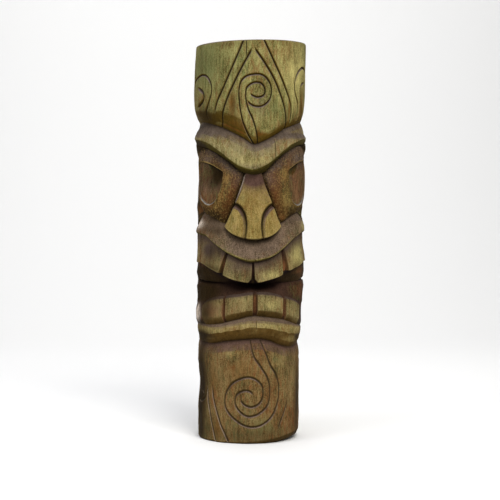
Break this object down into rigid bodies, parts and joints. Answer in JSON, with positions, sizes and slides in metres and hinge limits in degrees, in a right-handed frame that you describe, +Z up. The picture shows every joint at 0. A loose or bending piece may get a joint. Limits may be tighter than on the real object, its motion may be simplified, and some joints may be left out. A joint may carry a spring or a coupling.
{
  "type": "carved tiki figure",
  "caption": "Free-standing tiki figure carved round the front of one upright log: crown, brow, sunken eyes, nose, open toothed mouth and chin.",
  "frame": {"origin": "centre of the log's flat base, on the ground", "axes": "+Z up along the log, face looks along -Y, +X to a viewer's right"},
  "size_m": [0.256, 0.2559, 0.9],
  "materials": {
    "log_wood": "weathered wood, bark removed, with drying checks",
    "crown_wood": "stained wood, olive brown, fine upright grain, incised lines",
    "brow_wood": "stained wood, yellow olive with a greyed top",
    "ground_wood": "dark stained wood in the hollows of the face",
    "eye_wood": "red brown stained wood with tool marks",
    "nose_wood": "stained wood, warm ochre",
    "lip_wood": "stained wood, greyed on top, worn pale at the edge",
    "teeth_wood": "stained wood, yellow brown with worn edges",
    "mouth_wood": "dark stained wood inside the mouth and between the teeth",
    "chin_wood": "stained wood, brown, with an incised spiral"
  },
  "bodies": {
    "root": {"log_body": "log_wood", "crown": "crown_wood", "brow": "brow_wood", "face_ground": "ground_wood", "eye_rim_left": "eye_wood", "eye_rim_right": "eye_wood", "eye_left": "eye_wood", "eye_right": "eye_wood", "nose_bridge": "nose_wood", "nostril_left": "nose_wood", "nostril_right": "nose_wood", "upper_lip": "lip_wood", "upper_jaw": "mouth_wood", "upper_tooth_1": "teeth_wood", "upper_tooth_2": "teeth_wood", "upper_tooth_3": "teeth_wood", "upper_tooth_4": "teeth_wood", "upper_tooth_5": "teeth_wood", "upper_tooth_6": "teeth_wood", "lower_jaw": "mouth_wood", "lower_tooth_1": "teeth_wood", "lower_tooth_2": "teeth_wood", "lower_tooth_3": "teeth_wood", "lower_tooth_4": "teeth_wood", "lower_lip": "lip_wood", "chin": "chin_wood"}
  },
  "joints": []
}
